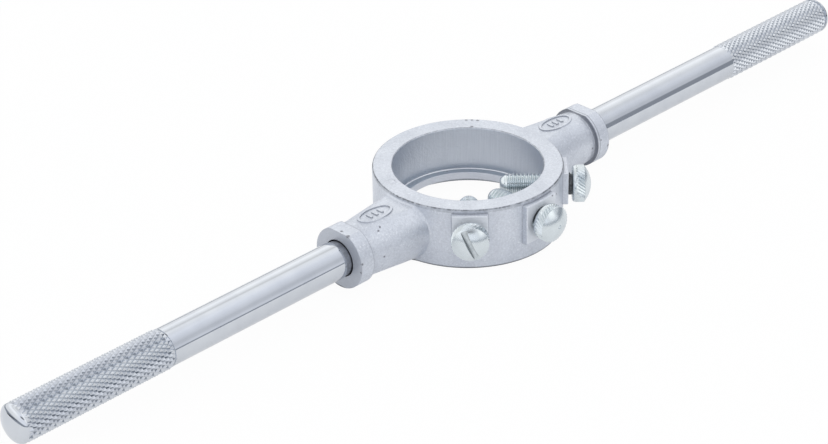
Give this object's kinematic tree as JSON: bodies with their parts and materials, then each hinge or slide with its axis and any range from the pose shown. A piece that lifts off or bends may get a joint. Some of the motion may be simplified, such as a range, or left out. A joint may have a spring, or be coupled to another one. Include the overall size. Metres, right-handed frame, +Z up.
{
  "type": "die stock handle",
  "caption": "Two-handed die stock: cast ring holder with a stepped seat for a round threading die, knurled clamp screws and bright knurled rod handles.",
  "frame": {"origin": "centre of the die seat, on the shoulder that the die lies on", "axes": "+X along the handles, +Z up through the seat, the way the die leaves; the clamp screws are on the -Y side"},
  "size_m": [0.3012, 0.0574, 0.0174],
  "materials": {
    "cast_body": "silver-grey lacquer over a zinc casting",
    "handles": "bright plated steel rod",
    "screws": "bright zinc-plated steel"
  },
  "bodies": {
    "holder": {"holder_body": "cast_body"},
    "left_handle_body": {"left_handle": "handles"},
    "right_handle_body": {"right_handle": "handles"},
    "left_screw_body": {"left_clamp_screw": "screws"},
    "middle_screw_body": {"spreading_screw": "screws"},
    "right_screw_body": {"right_clamp_screw": "screws"}
  },
  "joints": [
    {"name": "left_handle_unscrew", "type": "slide", "parent": "holder", "child": "left_handle_body", "axis": [-1, 0, 0], "range_m": [0, 0.018]},
    {"name": "right_handle_unscrew", "type": "slide", "parent": "holder", "child": "right_handle_body", "axis": [1, 0, 0], "range_m": [0, 0.018]},
    {"name": "left_screw_travel", "type": "slide", "parent": "holder", "child": "left_screw_body", "axis": [0.7071, 0.7071, 0], "range_m": [-0.01105, 0.00165]},
    {"name": "middle_screw_travel", "type": "slide", "parent": "holder", "child": "middle_screw_body", "axis": [0, 1, 0], "range_m": [-0.0115, 0.0012]},
    {"name": "right_screw_travel", "type": "slide", "parent": "holder", "child": "right_screw_body", "axis": [-0.7071, 0.7071, 0], "range_m": [-0.01165, 0.00105]}
  ]
}
